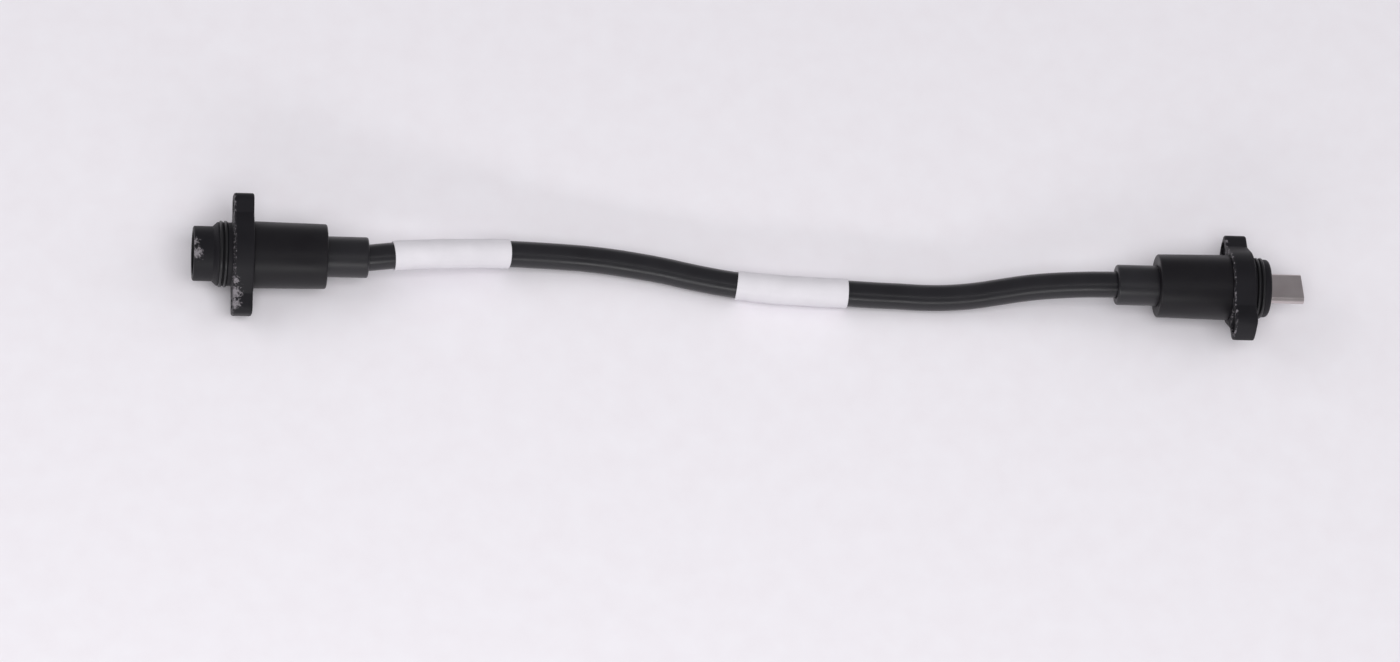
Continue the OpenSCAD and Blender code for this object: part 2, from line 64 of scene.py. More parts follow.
# The jacket lies just inside its nominal radius, and wavers by a few hundredths.
JACKET_SLACK = 0.02
JACKET_WAVER = 0.015
SLEEVE_WALL = 0.28
SLEEVE_OVAL = 0.02
SLEEVE_WAVER = 0.015
SLEEVE_LIP_ROUND = 0.04
SLEEVE_LIP_STEP = 0.05
JACKET_SIDES = 48
SLEEVE_SIDES = 64
ROLL = math.radians(18.5)

HUB_R = 8.5
EAR_TIP_R = 13.85
EAR_HALF_W = 4.0
EAR_CORNER_R = 2.0
EAR_ROOT_R = 0.9
SCREW_OFFSET = 10.8
SCREW_HOLE_R = 1.65
SCREW_RECESS_R = 2.5
SCREW_RECESS_DEPTH = 0.6
FLANK_DEG = 35
FLANK = math.radians(FLANK_DEG)
FLANGE_ROUND = 0.4
EDGE_BREAK = 0.1
FLANGE_BORE_R = 6.0
NOSE_ROOT = 0.4

SHELL_LEN = 16.6
SHELL_DRAFT = 0.25
SHELL_END_WALL = 2.0
SHELL_CAVITY_R = 5.3
BOOT_R = 4.6
BOOT_LEN = 9.4
BOOT_COLLAR_T = 2.0
NECK_LEN = 6.0
NECK_R = 6.2
NECK_WALL = 1.0
FIT = 0.05

SOCKET_FLANGE_T = 4.5
SOCKET_SHELL_R = 7.55
SOCKET_SEAL_R = 7.15
SOCKET_SEAL_LEN = 3.6
SOCKET_STEP_LEN = 1.0
SOCKET_NOSE_R = 6.2
SOCKET_NOSE_END = 8.95
RECESS_R = 4.9
RECESS_FLOOR = 2.95
INSERT_R = 4.45
INSERT_REAR = 0.55
KEY_W = 1.6
KEY_DEPTH = 0.55
SOCKET_RING_D = 0.85
SOCKET_RINGS = (1.75, 2.8)
SOCKET_GROOVE_R = 6.65

PLUG_FLANGE_T = 5.0
PLUG_SHELL_R = 7.45
PLUG_NOSE_R = 6.6
PLUG_NOSE_LEN = 4.15
PLUG_NOSE_ROUND = 0.9
PLUG_WALL_REAR = -2.0
PLUG_RING_D = 0.8
PLUG_RINGS = (1.15, 2.15)
PLUG_GROOVE_R = 6.15
USB_W = 8.25
USB_T = 2.4
USB_WALL = 0.25
USB_TIP = 12.15
USB_REAR = -4.0
USB_TIP_ROUND = 0.12
USB_LIP_BREAK = 0.05
USB_COLLAR_T = 0.6
USB_COLLAR_PROUD = 0.5
# How far a cutting shape runs past what it cuts
OVERRUN = 1
# The turned nose of the plug starts with this hole, which its slot then takes in.
PILOT_R = 1
SLOT_EDGE_BREAK = 0.08

# The cable's centre line from the socket's boot to the plug's boot
ROUTE = [
    (-87.2, 1.0, 8.5), (-84.5, 1.3, 8.5), (-81.5, 1.72, 8.35), (-76, 2.37, 7.95), (-71, 2.92, 7.35),
    (-65.5, 3.47, 6.65), (-60, 4.01, 5.85), (-55, 4.36, 5.15), (-50, 4.51, 4.55), (-44, 4.56, 3.95),
    (-38, 4.41, 3.55), (-32, 3.93, 3.3), (-26, 3.13, 3.2), (-20, 2.13, 3.2), (-14, 0.83, 3.2),
    (-8, -0.37, 3.3), (-3, -1.17, 3.4), (2, -1.67, 3.4), (7, -2.07, 3.4), (12, -2.27, 3.4),
    (17, -2.47, 3.4), (22.3, -2.57, 3.4), (28, -2.77, 3.3), (34, -2.87, 3.2), (40, -3.07, 3.2),
    (46, -2.99, 3.45), (52, -2.57, 4.1), (58, -1.84, 5.05), (64, -1.21, 6.1), (70, -0.98, 7.15),
    (76, -0.95, 8.0), (80, -1.0, 8.4), (83.5, -1.0, 8.5),
]
ROUTE = [Vector(point) * MM for point in ROUTE]
SOCKET_SLEEVE = (2, 7)
MIDDLE_SLEEVE = (16, 21)

mounts = {mount["name"]: mount for mount in frame["record"]["mounts"]}


def connector_origin(end):
    x = mounts[end + "_flange_face"]["pos_m"][0]
    _, y, z = mounts[end + "_screw_holes"]["pos_m"]
    return Vector((x, y, z))


SOCKET_ORIGIN = connector_origin("socket")
PLUG_ORIGIN = connector_origin("plug")
SOCKET_TURN = (-ROLL, 0, math.pi)
PLUG_TURN = (-ROLL, 0, 0)


def placed(origin, turn):
    turning = Matrix.Rotation(turn[2], 4, "Z") @ Matrix.Rotation(turn[0], 4, "X")
    return Matrix.Translation(origin) @ turning @ Matrix.Scale(MM, 4)


SOCKET = placed(SOCKET_ORIGIN, SOCKET_TURN)
PLUG = placed(PLUG_ORIGIN, PLUG_TURN)

scene = bpy.context.scene


# ---- camera ----
# A long lens from above and in front, a little towards the socket end
def add_camera():
    elevation = math.radians(64.5)
    tilt = math.radians(1.44)
    side = -0.13
    back = Vector((side, -math.sqrt(1 - side**2 - math.sin(elevation) ** 2), math.sin(elevation)))
    level = (Vector((1, 0, 0)) - back * side).normalized()
    upright = back.cross(level)
    right = level * math.cos(tilt) + upright * math.sin(tilt)
    up = upright * math.cos(tilt) - level * math.sin(tilt)
    turning = Matrix((right, up, back)).transposed().to_4x4()
    target = Vector((0, -0.000665, 0.0009))
    distance = 1.7677

    data = bpy.data.cameras.new("camera")
    data.lens = 200
    data.sensor_width = 36
    data.shift_x = -48 / 1400
    data.shift_y = -43 / 1400
    data.clip_end = 20
    camera = bpy.data.objects.new("camera", data)
    camera.matrix_world = Matrix.Translation(target + back * distance) @ turning
    scene.collection.objects.link(camera)
    scene.camera = camera


add_camera()


# ---- mesh helpers ----
def keep(name, mesh):
    piece = bpy.data.objects.new(name, mesh)
    scene.collection.objects.link(piece)
    return piece


def skinned(name, rings, closed=True):
    """A mesh over rings of points. Closed joins the last ring to the first.
    Otherwise both ends are capped."""
    shape = bmesh.new()
    loops = [[shape.verts.new(point) for point in ring] for ring in rings]
    pairs = list(zip(loops, loops[1:]))
    if closed:
        pairs.append((loops[-1], loops[0]))
    for one, other in pairs:
        for k in range(len(one)):
            n = (k + 1) % len(one)
            shape.faces.new((one[k], one[n], other[n], other[k]))
    if not closed:
        shape.faces.new(loops[0])
        shape.faces.new(loops[-1])
    bmesh.ops.recalc_face_normals(shape, faces=shape.faces)
    mesh = bpy.data.meshes.new(name)
    shape.to_mesh(mesh)
    shape.free()
    return keep(name, mesh)


def smoothed(piece, degrees=32):
    """Smooth shading that stays crisp where faces meet at more than this angle"""
    piece.data.shade_smooth()
    piece.data.set_sharp_from_angle(angle=math.radians(degrees))
    return piece


def settled(piece):
    """The piece with its modifiers worked into its mesh"""
    graph = bpy.context.evaluated_depsgraph_get()
    mesh = bpy.data.meshes.new_from_object(piece.evaluated_get(graph))
    piece.modifiers.clear()
    piece.data = mesh
    return piece


def edges_rounded(piece, width, degrees, steps=3):
    """The piece with its sharp edges rounded. The width is in the mesh's own units."""
    bevel = piece.modifiers.new("round", "BEVEL")
    bevel.width = width
    bevel.segments = steps
    bevel.limit_method = "ANGLE"
    bevel.angle_limit = math.radians(degrees)
    return settled(piece)


def cut(piece, *tools):
    for tool in tools:
        opening = piece.modifiers.new("cut", "BOOLEAN")
        opening.operation = "DIFFERENCE"
        opening.solver = "EXACT"
        opening.object = tool
        settled(piece)
        bpy.data.objects.remove(tool)
    return piece


def laid(piece, place):
    """The piece moved from its connector's own frame into the lead"""
    piece.data.transform(place)
    return piece


def rounded_line(corners, closed=True, steps=5):
    """Points (x, r) along a line of corners (x, r, radius), each corner rounded by its radius"""
    points = []
    count = len(corners)
    for i, (x, r, radius) in enumerate(corners):
        here = Vector((x, r))
        if radius == 0 or (not closed and i in (0, count - 1)):
            points.append(here)
            continue
        before = (Vector(corners[i - 1][:2]) - here).normalized()
        after = (Vector(corners[(i + 1) % count][:2]) - here).normalized()
        half = before.angle(after) / 2
        reach = radius / math.tan(half)
        centre = here + (before + after).normalized() * radius / math.sin(half)
        start = here + before * reach - centre
        sweep = (here + after * reach - centre).angle_signed(start)
        for k in range(steps + 1):
            turn = Matrix.Rotation(sweep * k / steps, 2)
            points.append(centre + turn @ start)
    return points


def turned(name, corners, closed=True, around=96):
    """A piece turned about the x axis from its section's corners (x, r, radius)"""
    rings = []
    for x, r in rounded_line(corners, closed):
        angles = [2 * math.pi * k / around for k in range(around)]
        rings.append([(x, r * math.cos(a), r * math.sin(a)) for a in angles])
    return skinned(name, rings, closed)


def arc(y, z, radius, first, last, steps):
    """Points on an arc round (y, z), its angles in degrees"""
    angles = [math.radians(first + (last - first) * k / steps) for k in range(steps + 1)]
    return [(y + radius * math.cos(a), z + radius * math.sin(a)) for a in angles]


def stadium(width, thickness, steps=16):
    """The outline of a flat bar with round sides"""
    reach = (width - thickness) / 2
    return arc(reach, 0, thickness / 2, -90, 90, steps) + arc(-reach, 0, thickness / 2, 90, 270, steps)


def prism(name, outline, x0, x1):
    rings = [[(x, y, z) for y, z in outline] for x in (x0, x1)]
    return skinned(name, rings, closed=False)


# ---- cable and label sleeves ----
def route_tangent(i):
    """The cable leaves both boots straight along x."""
    if i == 0:
        return Vector((ROUTE[1].x - ROUTE[0].x, 0, 0))
    if i == len(ROUTE) - 1:
        return Vector((ROUTE[i].x - ROUTE[i - 1].x, 0, 0))
    return (ROUTE[i + 1] - ROUTE[i - 1]) / 2


def route_point(i, t):
    """A point on the smooth line from route point i to the next"""
    a, d = ROUTE[i], ROUTE[i + 1]
    b = a + route_tangent(i) / 3
    c = d - route_tangent(i + 1) / 3
    s = 1 - t
    return a * s**3 + b * 3 * s**2 * t + c * 3 * s * t**2 + d * t**3


def route_line(first, last, steps=8):
    """Points along the cable's centre line from one route point to another"""
    line = [route_point(i, k / steps) for i in range(first, last) for k in range(steps)]
    return line + [ROUTE[last]]


def ring_round(line, i, reach, around, shift=0.0):
    """Points round the line at its point i.
    The reach is a radius in mm, or gives one for each angle."""
    heading = (line[min(i + 1, len(line) - 1)] - line[max(i - 1, 0)]).normalized()
    across = Vector((0, 0, 1)).cross(heading).normalized()
    above = heading.cross(across)
    centre = line[i] + heading * shift * MM
    points = []
    for k in range(around):
        angle = 2 * math.pi * k / around
        radius = (reach(angle) if callable(reach) else reach) * MM
        points.append(centre + across * radius * math.cos(angle) + above * radius * math.sin(angle))
    return points


CABLE_LINE = route_line(0, len(ROUTE) - 1)


def add_cable():
    """The jacket, its radius wavering by a few hundredths as an extruded jacket's does"""
    mean_r = CABLE_R - JACKET_SLACK
    rings = []
    for i in range(len(CABLE_LINE)):
        waver = JACKET_WAVER * math.sin(i * 0.19) * math.sin(i * 0.043 + 1)
        rings.append(ring_round(CABLE_LINE, i, mean_r + waver, JACKET_SIDES))
    return smoothed(skinned("cable", rings, closed=False))


def label_sleeve(name, span, phase):
    """A shrunk sleeve round the cable. Its wall wavers slightly, as shrunk tube does."""
    line = route_line(*span)
    bore_r = CABLE_R + FIT
    outer_r = bore_r + SLEEVE_WALL
    lip_r = outer_r - SLEEVE_WALL / 2
    shoulder_r = outer_r - SLEEVE_LIP_ROUND
    last = len(line) - 1

    def outside(i):
        def reach(angle):
            oval = SLEEVE_OVAL * math.sin(2 * angle + i * 0.35 + phase)
            return outer_r + oval + SLEEVE_WAVER * math.sin(i * 0.8 + phase)

        return ring_round(line, i, reach, SLEEVE_SIDES)

    def ring(i, radius, shift=0.0):
        return ring_round(line, i, radius, SLEEVE_SIDES, shift)

    rings = [ring(0, bore_r), ring(0, lip_r), ring(0, shoulder_r, SLEEVE_LIP_STEP)]
    rings += [outside(i) for i in range(1, last)]
    rings += [ring(last, shoulder_r, -SLEEVE_LIP_STEP), ring(last, lip_r), ring(last, bore_r)]
    rings += [ring(i, bore_r) for i in range(last - 1, 0, -1)]
    return smoothed(skinned(name, rings))


cable = add_cable()
socket_sleeve = label_sleeve("label_sleeve_socket", SOCKET_SLEEVE, 0.4)
middle_sleeve = label_sleeve("label_sleeve_middle", MIDDLE_SLEEVE, 2.1)
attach(cable, "root")
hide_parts("cable_jacket")
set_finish(cable, "jacket_rubber")
for sleeve, node in ((socket_sleeve, "label_near_socket"), (middle_sleeve, "label_near_middle")):
    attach(sleeve, "root")
    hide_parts(node)
    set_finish(sleeve, "label_plastic")


# ---- connectors ----
def flange_outline():
    """The hub's edge, its straight flanks and the two square ears, corners rounded"""
    flank_y = HUB_R * math.sin(FLANK)
    flank_z = HUB_R * math.cos(FLANK)
    root_y = flank_y + (flank_z - EAR_HALF_W) / math.tan(FLANK)
    root_centre_y = root_y + EAR_ROOT_R * math.tan(FLANK / 2)
    corner_z = EAR_HALF_W - EAR_CORNER_R
    corner_y = math.sqrt((EAR_TIP_R - EAR_CORNER_R) ** 2 - corner_z**2)
    lean = math.degrees(math.atan2(EAR_TIP_R - EAR_CORNER_R - corner_y, corner_z))
    quarter = arc(0, 0, HUB_R, 90, 90 - FLANK_DEG, 12)
    quarter += arc(root_centre_y, EAR_HALF_W + EAR_ROOT_R, EAR_ROOT_R, 270 - FLANK_DEG, 270, 5)
    quarter += arc(corner_y, corner_z, EAR_CORNER_R, 90, lean, 8)
    quarter.append((EAR_TIP_R, 0))
    right = quarter + [(y, -z) for y, z in reversed(quarter[:-1])]
    left = [(-y, -z) for y, z in right[1:-1]]
    return right + left


def flange(name, thickness):
    """The plate between nose and rear shell, with a screw hole and its shallow recess in each ear"""
    rear = -thickness - OVERRUN
    floor = -thickness + SCREW_RECESS_DEPTH
    plate = prism(name, flange_outline(), -thickness, 0)
    edges_rounded(plate, FLANGE_ROUND, 60, 4)
    for side in (-1, 1):
        section = [
            (rear, SCREW_RECESS_R, 0),
            (floor, SCREW_RECESS_R, 0),
            (floor, SCREW_HOLE_R, 0),
            (OVERRUN, SCREW_HOLE_R, 0),
        ]
        drill = turned("drill", section, closed=False, around=64)
        drill.data.transform(Matrix.Translation((0, side * SCREW_OFFSET, 0)))
        cut(plate, drill)
    core = [(rear, FLANGE_BORE_R, 0), (OVERRUN, FLANGE_BORE_R, 0)]
    cut(plate, turned("core", core, closed=False))
    edges_rounded(plate, EDGE_BREAK, 50, 2)
    return smoothed(plate)


def rear_shell(name, flange_t, front_r):
    rear_r = front_r - SHELL_DRAFT
    rear = -flange_t - SHELL_LEN
    shell = turned(name, [
        (-flange_t, front_r, 0.15),
        (rear, rear_r, 0.45),
        (rear, BOOT_R + FIT, 0.15),
        (rear + SHELL_END_WALL, BOOT_R + FIT, 0),
        (rear + SHELL_END_WALL, SHELL_CAVITY_R, 0),
        (-flange_t - NECK_LEN, SHELL_CAVITY_R, 0),
        (-flange_t - NECK_LEN, NECK_R + FIT, 0),
        (-flange_t, NECK_R + FIT, 0),
    ])
    return smoothed(shell)


def boot(name, flange_t):
    rear = -flange_t - SHELL_LEN
    inside = rear + SHELL_END_WALL
    end = rear - BOOT_LEN
    sleeve = turned(name, [
        (inside + BOOT_COLLAR_T, SHELL_CAVITY_R - FIT, 0.2),
        (inside, SHELL_CAVITY_R - FIT, 0.2),
        (inside, BOOT_R, 0),
        (end, BOOT_R, 0.5),
        (end, CABLE_R + FIT, 0.2),
        (inside + BOOT_COLLAR_T, CABLE_R + FIT, 0),
    ])
    return smoothed(sleeve)


def seal_grooves(places, ring_d, groove_r, land_r):
    """The section's corners for square grooves, from the rearmost to the front"""
    corners = []
    half = (ring_d + FIT) / 2
    lip = 0.06
    for x in places:
        corners += [(x - half, land_r, lip), (x - half, groove_r, 0)]
        corners += [(x + half, groove_r, 0), (x + half, land_r, lip)]
    return corners


def socket_nose():
    neck_rear = -SOCKET_FLANGE_T - NECK_LEN
    step_end = SOCKET_SEAL_LEN + SOCKET_STEP_LEN
    nose = turned("socket_nose", [
        (neck_rear, NECK_R - NECK_WALL, 0),
        (neck_rear, NECK_R, 0.1),
        (-FLANGE_ROUND, NECK_R, 0),
        (-FLANGE_ROUND, SOCKET_SEAL_R + NOSE_ROOT + FLANGE_ROUND, 0),
        (NOSE_ROOT, SOCKET_SEAL_R, 0),
        *seal_grooves(SOCKET_RINGS, SOCKET_RING_D, SOCKET_GROOVE_R, SOCKET_SEAL_R),
        (SOCKET_SEAL_LEN, SOCKET_SEAL_R, 0.2),
        (step_end, SOCKET_NOSE_R, 0.3),
        (SOCKET_NOSE_END, SOCKET_NOSE_R, 0.4),
        (SOCKET_NOSE_END, RECESS_R, 0.2),
        (RECESS_FLOOR, RECESS_R, 0),
        (RECESS_FLOOR, INSERT_R, 0),
        (INSERT_REAR, INSERT_R, 0),
        (INSERT_REAR, NECK_R - NECK_WALL, 0),
    ], around=120)
    half = KEY_W / 2
    key_top = RECESS_R + KEY_DEPTH
    key = [(-half, 0), (half, 0), (half, key_top), (-half, key_top)]
    cut(nose, prism("key", key, RECESS_FLOOR, SOCKET_NOSE_END + OVERRUN))
    return smoothed(nose)


def plug_nose():
    neck_rear = -PLUG_FLANGE_T - NECK_LEN
    nose = turned("plug_nose", [
        (PLUG_WALL_REAR, NECK_R - NECK_WALL, 0),
        (neck_rear, NECK_R - NECK_WALL, 0),
        (neck_rear, NECK_R, 0.1),
        (-FLANGE_ROUND, NECK_R, 0),
        (-FLANGE_ROUND, PLUG_NOSE_R + NOSE_ROOT + FLANGE_ROUND, 0),
        (NOSE_ROOT, PLUG_NOSE_R, 0),
        *seal_grooves(PLUG_RINGS, PLUG_RING_D, PLUG_GROOVE_R, PLUG_NOSE_R),
        (PLUG_NOSE_LEN, PLUG_NOSE_R, PLUG_NOSE_ROUND),
        (PLUG_NOSE_LEN, PILOT_R, 0),
        (PLUG_WALL_REAR, PILOT_R, 0),
    ], around=120)
    slot = stadium(USB_W + 2 * FIT, USB_T + 2 * FIT)
    cut(nose, prism("slot", slot, PLUG_WALL_REAR - OVERRUN, PLUG_NOSE_LEN + OVERRUN))
    edges_rounded(nose, SLOT_EDGE_BREAK, 50, 2)
    return smoothed(nose)


def usb_shell():
    """The drawn steel tube round the plug's tongue slot: its lip is rounded, and a collar holds it"""
    collar_rear = PLUG_WALL_REAR - USB_COLLAR_T
    # Places along x, and how far each stands out from the tube's outside
    section = [
        (USB_REAR, 0),
        (collar_rear, 0),
        (collar_rear, USB_COLLAR_PROUD),
        (PLUG_WALL_REAR, USB_COLLAR_PROUD),
        (PLUG_WALL_REAR, 0),
    ]
    for k in range(5):
        angle = math.radians(k * 22.5)
        back = USB_TIP_ROUND * (1 - math.sin(angle))
        section.append((USB_TIP - back, -USB_TIP_ROUND * (1 - math.cos(angle))))
    section += [
        (USB_TIP, -USB_WALL + USB_LIP_BREAK),
        (USB_TIP - USB_LIP_BREAK, -USB_WALL),
        (USB_REAR, -USB_WALL),
    ]
    rings = []
    for x, grow in section:
        rings.append([(x, y, z) for y, z in stadium(USB_W + 2 * grow, USB_T + 2 * grow)])
    return smoothed(skinned("usb_tube", rings))


def add_piece(piece, place, slot, *nodes):
    laid(piece, place)
    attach(piece, "root")
    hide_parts(*nodes)
    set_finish(piece, slot)
    return piece


add_piece(flange("socket_flange", SOCKET_FLANGE_T), SOCKET, "shell_plastic", "socket_shell")
add_piece(socket_nose(), SOCKET, "shell_plastic", "socket_shell")
socket_rear_shell = rear_shell("socket_rear_shell", SOCKET_FLANGE_T, SOCKET_SHELL_R)
add_piece(socket_rear_shell, SOCKET, "backshell_plastic", "socket_backshell")
socket_strain_boot = boot("socket_strain_boot", SOCKET_FLANGE_T)
add_piece(socket_strain_boot, SOCKET, "boot_rubber", "socket_boot")
add_piece(flange("plug_flange", PLUG_FLANGE_T), PLUG, "shell_plastic", "plug_shell")
add_piece(plug_nose(), PLUG, "shell_plastic", "plug_shell")
plug_rear_shell = rear_shell("plug_rear_shell", PLUG_FLANGE_T, PLUG_SHELL_R)
add_piece(plug_rear_shell, PLUG, "backshell_plastic", "plug_backshell")
plug_strain_boot = boot("plug_strain_boot", PLUG_FLANGE_T)
add_piece(plug_strain_boot, PLUG, "boot_rubber", "plug_boot")
add_piece(usb_shell(), PLUG, "plug_steel", "usb_shell")


# ---- materials ----
def colour(hex_code):
    """A colour written as it looks on a screen, turned linear"""
    values = [int(hex_code[i : i + 2], 16) / 255 for i in (1, 3, 5)]
    return [v / 12.92 if v <= 0.04045 else ((v + 0.055) / 1.055) ** 2.4 for v in values] + [1]


def add(tree, kind, settings=None, inputs=None):
    """One node with its settings, and its inputs as values or as links from another node's output"""
    node = tree.nodes.new(kind)
    for name, value in (settings or {}).items():
        setattr(node, name, value)
    for name, value in (inputs or {}).items():
        if isinstance(value, bpy.types.NodeSocket):
            tree.links.new(value, node.inputs[name])
        else:
            node.inputs[name].default_value = value
    return node


MIX_FACTOR, MIX_A, MIX_B, MIX_RESULT = 0, 6, 7, 2


# A pale mark shows where a noise and its nearness to a spot or to the edge add up to the lower
# threshold below or more.
# The marks are scuffs of wear on the socket end and a painted highlight on the plug end's flange.
FLECKS_PER_MM = 1.7
# The pale grey of the scuffs, and of the painted highlight on the plug end's flange
SCUFF_AND_HIGHLIGHT_GREY = "#8F8A8F"
SCUFF_AND_HIGHLIGHT_COVER = 0.75
SCUFF_AND_HIGHLIGHT_FROM = 0.84
SCUFF_AND_HIGHLIGHT_FULL = 1.0
SCUFF_AND_HIGHLIGHT_SPOT_WEIGHT = 0.6
SCUFF_AND_HIGHLIGHT_LINE_WEIGHT = 0.33
SCUFF_AND_HIGHLIGHT_LINE_HALF_W = 0.32


def scuffed_and_highlit(material, origin, turn, spots, edge):
    """Pale marks on a finish, broken up by a fine noise: scuffs of wear on the socket end, a painted
    highlight on the plug end.
    They lie round spots (x, y, z, radius) in a connector's own frame, and in a thin line at x = edge."""
    tree = material.node_tree
    surface = tree.nodes["Principled BSDF"]
    where = add(tree, "ShaderNodeTexCoord").outputs["Object"]
    connector_frame = {"Vector": where, "Location": origin, "Rotation": turn, "Scale": (MM, MM, MM)}
    mapping = add(tree, "ShaderNodeMapping", {"vector_type": "TEXTURE"}, connector_frame)
    local = mapping.outputs[0]
    grit = {"Vector": local, "Scale": FLECKS_PER_MM, "Detail": 5.0, "Roughness": 0.65}
    flecks = add(tree, "ShaderNodeTexNoise", inputs=grit).outputs["Fac"]
    along = add(tree, "ShaderNodeSeparateXYZ", inputs={"Vector": local}).outputs["X"]
    band = {0: along, 1: edge, 2: SCUFF_AND_HIGHLIGHT_LINE_HALF_W}
    line = add(tree, "ShaderNodeMath", {"operation": "COMPARE"}, band).outputs[0]
    weighed = {0: line, 1: SCUFF_AND_HIGHLIGHT_LINE_WEIGHT}
    reach = add(tree, "ShaderNodeMath", {"operation": "MULTIPLY"}, weighed).outputs[0]
    for x, y, z, radius in spots:
        apart = {0: local, 1: (x, y, z)}
        away = add(tree, "ShaderNodeVectorMath", {"operation": "DISTANCE"}, apart).outputs["Value"]
        fading = {"Value": away, "From Max": radius, "To Min": SCUFF_AND_HIGHLIGHT_SPOT_WEIGHT, "To Max": 0.0}
        near = add(tree, "ShaderNodeMapRange", inputs=fading).outputs[0]
        both = {0: reach, 1: near}
        reach = add(tree, "ShaderNodeMath", {"operation": "MAXIMUM"}, both).outputs[0]
    level = add(tree, "ShaderNodeMath", {"operation": "ADD"}, {0: flecks, 1: reach}).outputs[0]
    showing = {"Value": level, "From Min": SCUFF_AND_HIGHLIGHT_FROM, "From Max": SCUFF_AND_HIGHLIGHT_FULL, "To Max": SCUFF_AND_HIGHLIGHT_COVER}
    mask = add(tree, "ShaderNodeMapRange", inputs=showing).outputs[0]
    under = surface.inputs["Base Color"].links[0].from_socket
    layers = {MIX_FACTOR: mask, MIX_A: under, MIX_B: colour(SCUFF_AND_HIGHLIGHT_GREY)}
    shown = add(tree, "ShaderNodeMix", {"data_type": "RGBA"}, layers)
    tree.links.new(shown.outputs[MIX_RESULT], surface.inputs["Base Color"])
    return material


# Size of the soft patches of tone on every finish, and how far the roughness wavers with them
PATCH_MM = 6
ROUGHNESS_WAVER = 0.04


def finish_material(name, base, lighter, roughness, grain_mm, grain_height, shader=None):
    """A solid finish: two close tones in soft patches, roughness that wavers with them, and a grain.
    The grain's size and height are in mm."""
    material = bpy.data.materials.new(name)
    material.use_nodes = True
    tree = material.node_tree
    surface = tree.nodes["Principled BSDF"]
    for key, value in (shader or {}).items():
        surface.inputs[key].default_value = value
    where = add(tree, "ShaderNodeTexCoord").outputs["Object"]
    soft = {"Vector": where, "Scale": 1 / (PATCH_MM * MM), "Detail": 4.0}
    patches = add(tree, "ShaderNodeTexNoise", inputs=soft).outputs["Fac"]
    swing = {"Value": patches, "From Min": 0.3, "From Max": 0.7}
    tone = add(tree, "ShaderNodeMapRange", inputs=swing).outputs[0]
    tones = {MIX_FACTOR: tone, MIX_A: colour(base), MIX_B: colour(lighter)}
    tint = add(tree, "ShaderNodeMix", {"data_type": "RGBA"}, tones)
    limits = {"To Min": roughness - ROUGHNESS_WAVER, "To Max": roughness + ROUGHNESS_WAVER}
    sheen = add(tree, "ShaderNodeMapRange", inputs={**swing, **limits})
    fine = {"Vector": where, "Scale": 1 / (grain_mm * MM), "Detail": 3.0}
    grain = add(tree, "ShaderNodeTexNoise", inputs=fine).outputs["Fac"]
    raised = {"Height": grain, "Distance": grain_height * MM, "Strength": 1.0}
    bump = add(tree, "ShaderNodeBump", inputs=raised)
    tree.links.new(tint.outputs[MIX_RESULT], surface.inputs["Base Color"])
    tree.links.new(sheen.outputs[0], surface.inputs["Roughness"])
    tree.links.new(bump.outputs[0], surface.inputs["Normal"])
    return material


METAL = {"Metallic": 1.0}
# A little over half of the usual mirroring, as on plastics filled with glass and soot
DULL = {"Specular IOR Level": 0.3}

# Glass-filled nylon, moulded: very dark, dull, with an even fine texture from the mould
nylon = finish_material("nylon_moulded_matt", "#121115", "#18171B", 0.55, 0.25, 0.02, shader=DULL)
# The same nylon from a smoother mould on the rear shells
nylon_satin = finish_material(
    "nylon_moulded_satin", "#110F13", "#161518", 0.42, 0.3, 0.015, shader=DULL
)
# Thermoplastic elastomer of the boots: a little lighter, satin
elastomer = finish_material("elastomer_satin", "#161519", "#1C1B1F", 0.38, 0.4, 0.015)
# Extruded polyurethane jacket: smooth, with a narrow soft highlight along its length
polyurethane = finish_material("polyurethane_extruded", "#151418", "#1B1A1E", 0.33, 0.5, 0.015)
# Nitrile rubber of the sealing rings: black and slightly shiny
nitrile = finish_material("nitrile_rubber", "#121214", "#18181A", 0.38, 0.2, 0.005)
# Shrunk polyolefin tube, white and unprinted
polyolefin = finish_material("polyolefin_shrunk", "#D7D4D9", "#DEDBE0", 0.45, 0.8, 0.02)
# Deep-drawn stainless steel, tumbled: grey with a soft, cloudy shine
stainless = finish_material("stainless_drawn", "#C6BCBC", "#D4CCCB", 0.34, 0.3, 0.004, shader=METAL)
# Gold over nickel on the contacts
gold = finish_material("gold_plated", "#D9B45C", "#E2C070", 0.25, 0.2, 0.002, shader=METAL)
# Tinned brass and braid: pale grey, dull
tinned = finish_material("tin_plated", "#B9BABC", "#C8C9CA", 0.4, 0.3, 0.01, shader=METAL)
# Drawn bare copper
copper = finish_material("copper_drawn", "#C77B52", "#D08A60", 0.3, 0.3, 0.004, shader=METAL)
# Dark polymer moulded round the joints and contacts
polyamide = finish_material("polyamide_moulded", "#2A2A2D", "#333337", 0.5, 0.3, 0.015)
# Liquid crystal polymer in the plug's mouth
liquid_crystal = finish_material("liquid_crystal_polymer", "#141416", "#1B1B1D", 0.5, 0.2, 0.008)
# Glass-epoxy laminate under green solder mask
laminate = finish_material("glass_epoxy_green", "#1F5A34", "#27683D", 0.35, 0.4, 0.01)
# Polyethylene insulation on the four cores
red_core = finish_material("polyethylene_red", "#B3202A", "#BE2C34", 0.35, 0.4, 0.01)
black_core = finish_material("polyethylene_black", "#18181A", "#202022", 0.35, 0.4, 0.01)
white_core = finish_material("polyethylene_white", "#E4E3DF", "#EBEAE6", 0.35, 0.4, 0.01)
green_core = finish_material("polyethylene_green", "#1F7A3C", "#288544", 0.35, 0.4, 0.01)

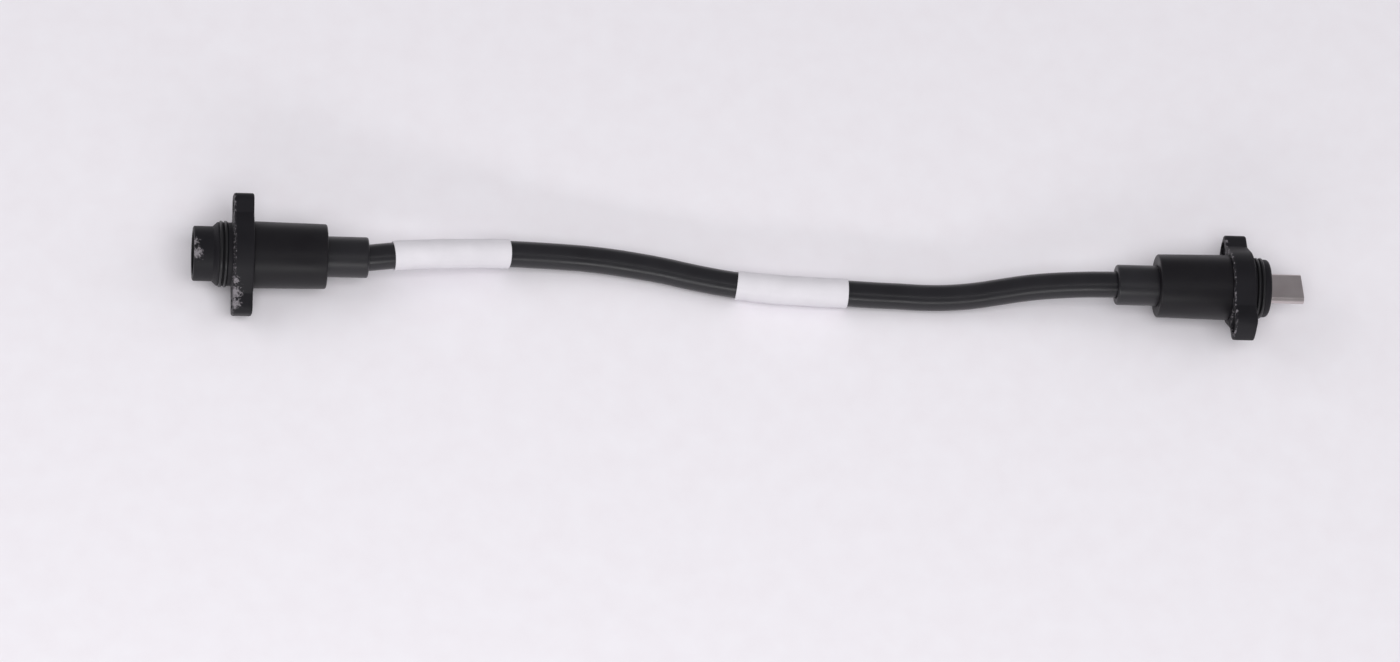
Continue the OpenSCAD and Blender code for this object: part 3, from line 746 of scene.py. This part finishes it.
# The socket end's nylon, scuffed grey on the nose's front edge and along the flange's front edge
nylon_scuffed = scuffed_and_highlit(
    finish_material("nylon_moulded_scuffed", "#121115", "#18171B", 0.55, 0.25, 0.02, shader=DULL),
    SOCKET_ORIGIN,
    SOCKET_TURN,
    [
        (8.3, 0.5, 6.2, 3.2),
        (8.7, -2.2, 5.8, 2.0),
        (-0.3, 8.9, 4.0, 4.0),
        (-0.7, 11.5, 4.0, 3.0),
        (-0.4, 6.2, 5.5, 2.4),
    ],
    edge=-0.1,
)
# The plug end's nylon with a painted highlight: pale grey along the flange's back edge and round the
# ears' back edges at the screw holes
nylon_painted_highlights = scuffed_and_highlit(
    finish_material("nylon_moulded_painted_highlights", "#121115", "#18171B", 0.55, 0.25, 0.02, shader=DULL),
    PLUG_ORIGIN,
    PLUG_TURN,
    [(-5.0, 10.8, 4.0, 1.6), (-5.0, -10.8, 4.0, 1.2)],
    edge=-4.95,
)

SLOT_FINISH = {
    "shell_plastic": nylon,
    "backshell_plastic": nylon_satin,
    "boot_rubber": elastomer,
    "seal_rubber": nitrile,
    "jacket_rubber": polyurethane,
    "label_plastic": polyolefin,
    "plug_steel": stainless,
    "contact_gold": gold,
    "ferrule_tin": tinned,
    "shield_braid": tinned,
    "conductor_copper": copper,
    "mould_plastic": polyamide,
    "insulator_plastic": liquid_crystal,
    "card_laminate": laminate,
    "core_red": red_core,
    "core_black": black_core,
    "core_white": white_core,
    "core_green": green_core,
}


PIECE_FINISH = {
    "socket_flange": nylon_scuffed,
    "socket_nose": nylon_scuffed,
    "plug_flange": nylon_painted_highlights,
}


def give_finish(piece, material):
    piece.data.materials.clear()
    piece.data.materials.append(material)


for part in frame["record"]["subparts"]:
    node = frame["nodes"][part["node"]]
    for place in node.material_slots:
        place.material = SLOT_FINISH[part["material_slot"]]
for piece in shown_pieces():
    if piece.name not in frame["nodes"]:
        give_finish(piece, PIECE_FINISH.get(piece.name, SLOT_FINISH[piece["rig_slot"]]))


# ---- table, light and world ----
def add_table():
    half = 3.0
    mesh = bpy.data.meshes.new("table")
    corners = [(-half, -half, 0), (half, -half, 0), (half, half, 0), (-half, half, 0)]
    mesh.from_pydata(corners, [], [(0, 1, 2, 3)])
    table = keep("table", mesh)
    laminate_white = finish_material("table_laminate_white", "#EAE6EB", "#ECE9EE", 0.6, 1.5, 0.005)
    table.data.materials.append(laminate_white)


def add_lamp(name, place, width, height, power, mirrored=False):
    """A soft box aimed at the lead. Unless it is mirrored, glossy surfaces don't show it."""
    data = bpy.data.lights.new(name, "AREA")
    data.shape = "RECTANGLE"
    data.size = width
    data.size_y = height
    data.energy = power
    lamp = bpy.data.objects.new(name, data)
    lamp.location = place
    lamp.rotation_euler = (-Vector(place)).to_track_quat("-Z", "Y").to_euler()
    lamp.visible_glossy = mirrored
    scene.collection.objects.link(lamp)


def add_world():
    world = bpy.data.worlds.new("world")
    world.use_nodes = True
    back = world.node_tree.nodes["Background"]
    back.inputs["Color"].default_value = (0.97, 0.96, 1.0, 1)
    back.inputs["Strength"].default_value = 0.3
    scene.world = world


add_table()
add_lamp("front_fill", (0.05, -0.5, 1.2), 1.1, 0.8, 8.5)
add_lamp("left_fill", (-0.9, 0.2, 0.6), 0.7, 0.7, 2.9)
add_lamp("right_fill", (0.9, 0.1, 0.75), 0.9, 0.9, 2.4)
add_lamp("front_strip", (-0.12, -0.5, 0.2), 0.6, 0.06, 0.8, mirrored=True)
add_lamp("upper_strip", (0.1, -0.45, 1.05), 0.9, 0.07, 0.5, mirrored=True)
add_world()
scene.view_settings.view_transform = "Standard"

bpy.context.view_layer.update()
